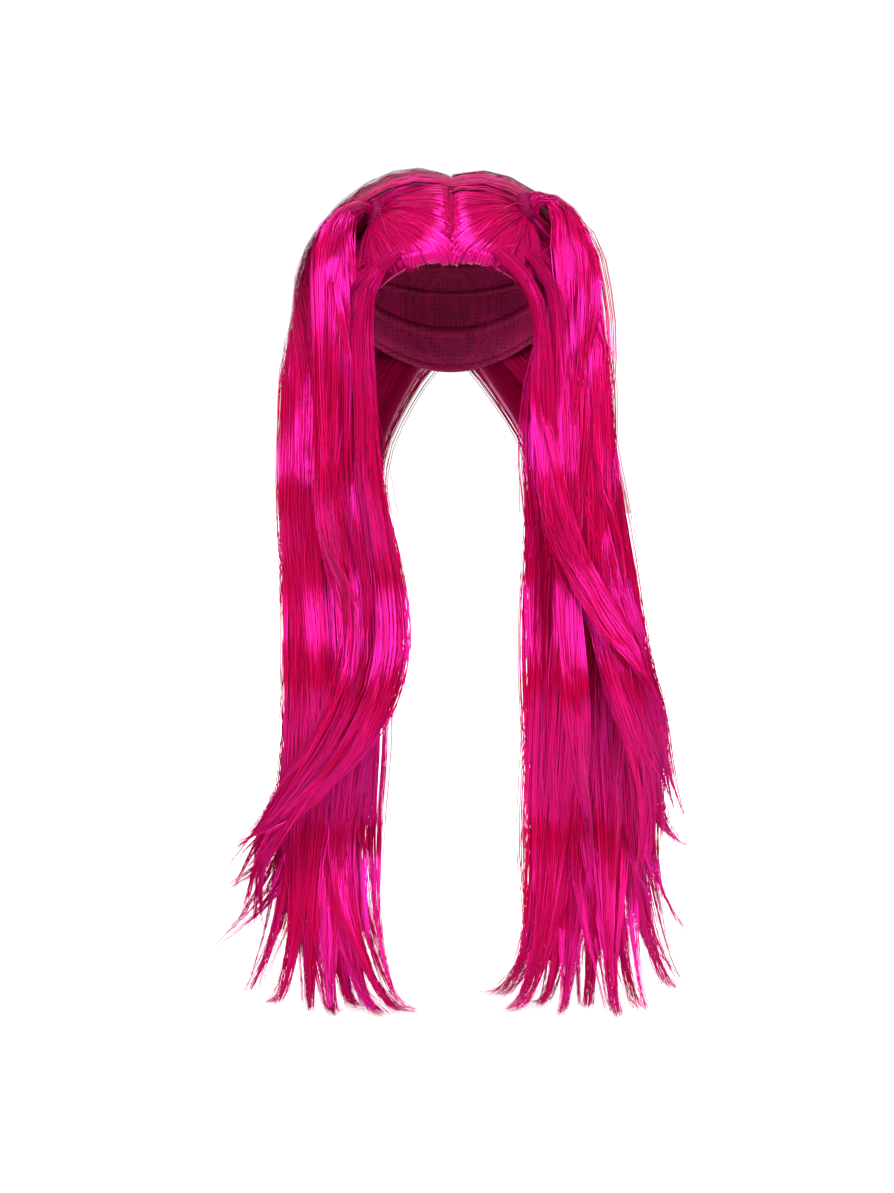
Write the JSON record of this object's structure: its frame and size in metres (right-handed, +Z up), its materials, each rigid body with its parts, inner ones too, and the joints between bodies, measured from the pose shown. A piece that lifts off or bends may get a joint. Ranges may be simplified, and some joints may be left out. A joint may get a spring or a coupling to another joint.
{
  "type": "long costume wig",
  "caption": "Long straight costume wig on a net cap, with front hair gathered into small tied bunches, side and back hair falling forward in curtains, and loose face locks.",
  "frame": {"origin": "inside of the crown of the cap, where the wig sits on the top of a head", "axes": "+Z up, the face looks along -Y, +X to the right of someone facing the wig"},
  "size_m": [0.366, 0.2256, 0.6308],
  "materials": {
    "hair": "glossy synthetic fibre, hot pink",
    "tie_cloth": "wrapped elastic band, hot pink",
    "cap_net": "matt knitted net, dark pink"
  },
  "bodies": {
    "root": {"cap": "cap_net", "bunch_left": "hair", "bunch_right": "hair", "tie_left": "tie_cloth", "tie_right": "tie_cloth", "face_lock_left": "hair", "face_lock_right_front": "hair", "face_lock_right_rear": "hair", "side_hair_left": "hair", "side_hair_right": "hair", "back_hair_left": "hair", "back_hair_right": "hair"}
  },
  "joints": []
}
